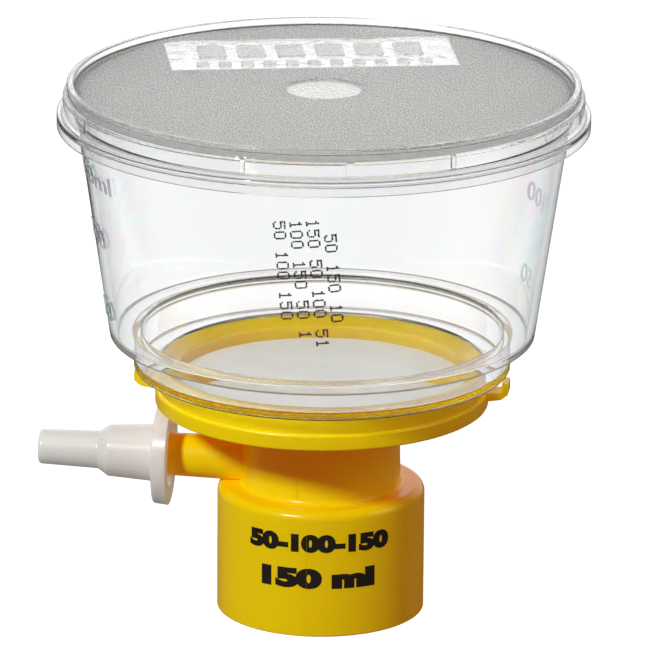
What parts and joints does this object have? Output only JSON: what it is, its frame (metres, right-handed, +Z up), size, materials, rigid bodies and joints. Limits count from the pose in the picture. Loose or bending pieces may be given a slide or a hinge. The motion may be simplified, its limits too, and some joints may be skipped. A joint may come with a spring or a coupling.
{
  "type": "vacuum filtration unit",
  "caption": "Bottle-top vacuum filter: clear tapered chamber with lift-off lid over a membrane, on a threaded base with a side arm and push-on hose adapter.",
  "frame": {"origin": "centre of the neck socket's mouth, at the bottom of the collar", "axes": "+Z up the unit's axis from the neck socket to the lid, -X along the side arm, +Y to the side with the lid's panel"},
  "size_m": [0.0956, 0.092, 0.0949],
  "materials": {
    "clear_styrene": "polished clear moulding, fine grain on the lid's top",
    "membrane": "thin matt filter film",
    "yellow_styrene": "glossy opaque moulding",
    "gasket": "soft matt elastomer",
    "white_polypropylene": "satin moulding",
    "cotton": "loose fibre wad"
  },
  "bodies": {
    "base": {"threaded_base": "yellow_styrene", "upper_chamber": "clear_styrene", "filter_membrane": "membrane", "neck_gasket": "gasket", "cotton_plug": "cotton"},
    "lid": {"lid": "clear_styrene"},
    "adapter": {"tubing_adapter": "white_polypropylene"}
  },
  "joints": [
    {"name": "lid_lift", "type": "slide", "parent": "base", "child": "lid", "axis": [0, 0, 1], "range_m": [0, 0.06]},
    {"name": "adapter_pull", "type": "slide", "parent": "base", "child": "adapter", "axis": [-0.9998, 0, 0.0175], "range_m": [0, 0.025]}
  ]
}
